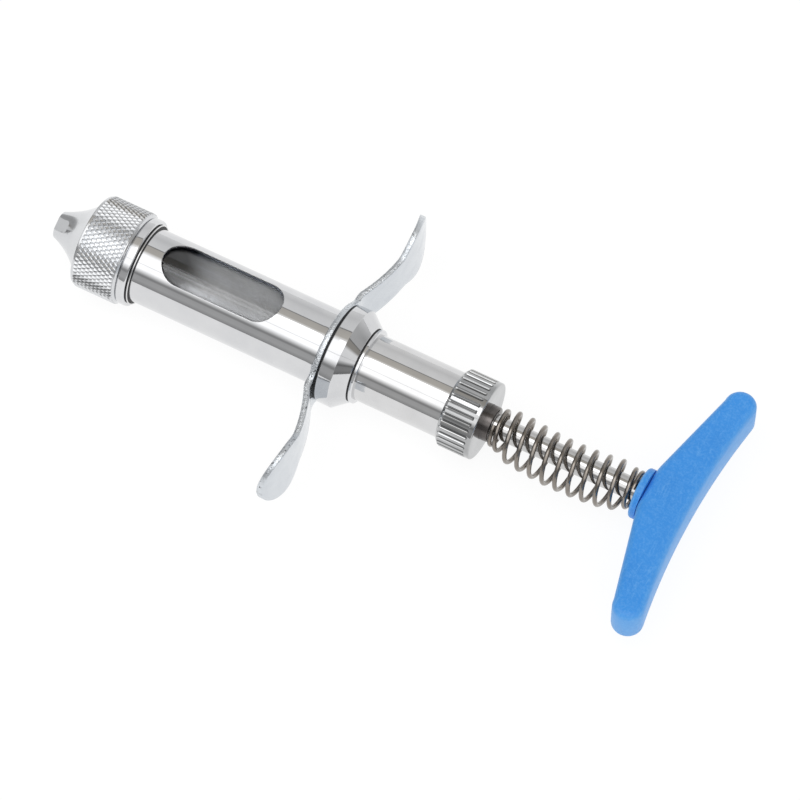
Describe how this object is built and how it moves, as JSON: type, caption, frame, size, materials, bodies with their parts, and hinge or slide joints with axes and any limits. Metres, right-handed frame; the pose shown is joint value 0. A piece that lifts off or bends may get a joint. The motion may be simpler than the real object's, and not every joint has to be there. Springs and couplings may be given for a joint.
{
  "type": "spring-return syringe",
  "caption": "Metal syringe with a knurled screw-on nose, glass cylinder behind a sight window, bent finger plate, spring-return plunger and plastic T-handle.",
  "frame": {"origin": "on the axis at the mouth of the nose, where the needle socket opens", "axes": "-X along the axis and out of the nose, +X towards the handle; +Y and -Y along the two finger wings; +Z towards the sight window"},
  "size_m": [0.1811, 0.088, 0.0266],
  "materials": {
    "nose_metal": "satin chrome, diamond knurl on the grip",
    "washer_white": "smooth fluoropolymer",
    "polished_ring": "polished chrome",
    "seal_rubber": "black nitrile rubber",
    "bright_wire": "bright drawn wire",
    "barrel_chrome": "polished chrome, faint lengthwise grain",
    "clear_glass": "clear borosilicate glass",
    "plate_steel": "bright plated sheet, satin faces and polished edge",
    "gasket_rubber": "black fibre gasket",
    "collar_chrome": "polished chrome",
    "bright_ring": "polished spring steel",
    "tube_chrome": "polished chrome",
    "nut_steel": "plated, straight flutes, turned end face",
    "bush_steel": "dark oiled steel",
    "buffer_rubber": "black rubber",
    "spring_steel": "drawn spring steel",
    "blue_plastic": "fine grained moulded nylon",
    "rod_steel": "ground and polished steel",
    "stop_steel": "turned steel",
    "pin_steel": "hardened steel",
    "piston_steel": "ground stainless steel",
    "brass": "turned brass"
  },
  "bodies": {
    "barrel": {"nose_cap": "nose_metal", "nose_washer": "washer_white", "lock_ring": "polished_ring", "front_seal": "seal_rubber", "garter_wire": "bright_wire", "barrel_sleeve": "barrel_chrome", "glass_cylinder": "clear_glass", "rear_washer": "washer_white", "finger_plate": "plate_steel", "plate_gasket": "gasket_rubber", "clamp_collar": "collar_chrome", "collar_seal": "seal_rubber", "retaining_ring": "bright_ring", "rear_tube": "tube_chrome", "end_nut": "nut_steel", "guide_bush": "bush_steel", "wiper_ring": "seal_rubber", "stop_buffer": "buffer_rubber", "return_spring": "spring_steel"},
    "seat": {"spring_seat": "blue_plastic"},
    "plunger": {"plunger_rod": "rod_steel", "stop_collar": "stop_steel", "stop_pin": "pin_steel", "piston": "piston_steel", "piston_ring_front": "seal_rubber", "piston_ring_rear": "seal_rubber", "piston_lock_nut": "brass", "t_handle": "blue_plastic", "handle_insert": "brass"}
  },
  "joints": [
    {"name": "plunger_slide", "type": "slide", "parent": "barrel", "child": "seat", "axis": [-1, 0, 0], "range_m": [0, 0.0242], "stiffness_N_per_m": 180, "springref_m": -0.012, "deforming": ["return_spring"]},
    {"name": "plunger_turn", "type": "hinge", "parent": "seat", "child": "plunger", "pos_m": [0.1645, 0, 0], "axis": [1, 0, 0], "continuous": true}
  ]
}
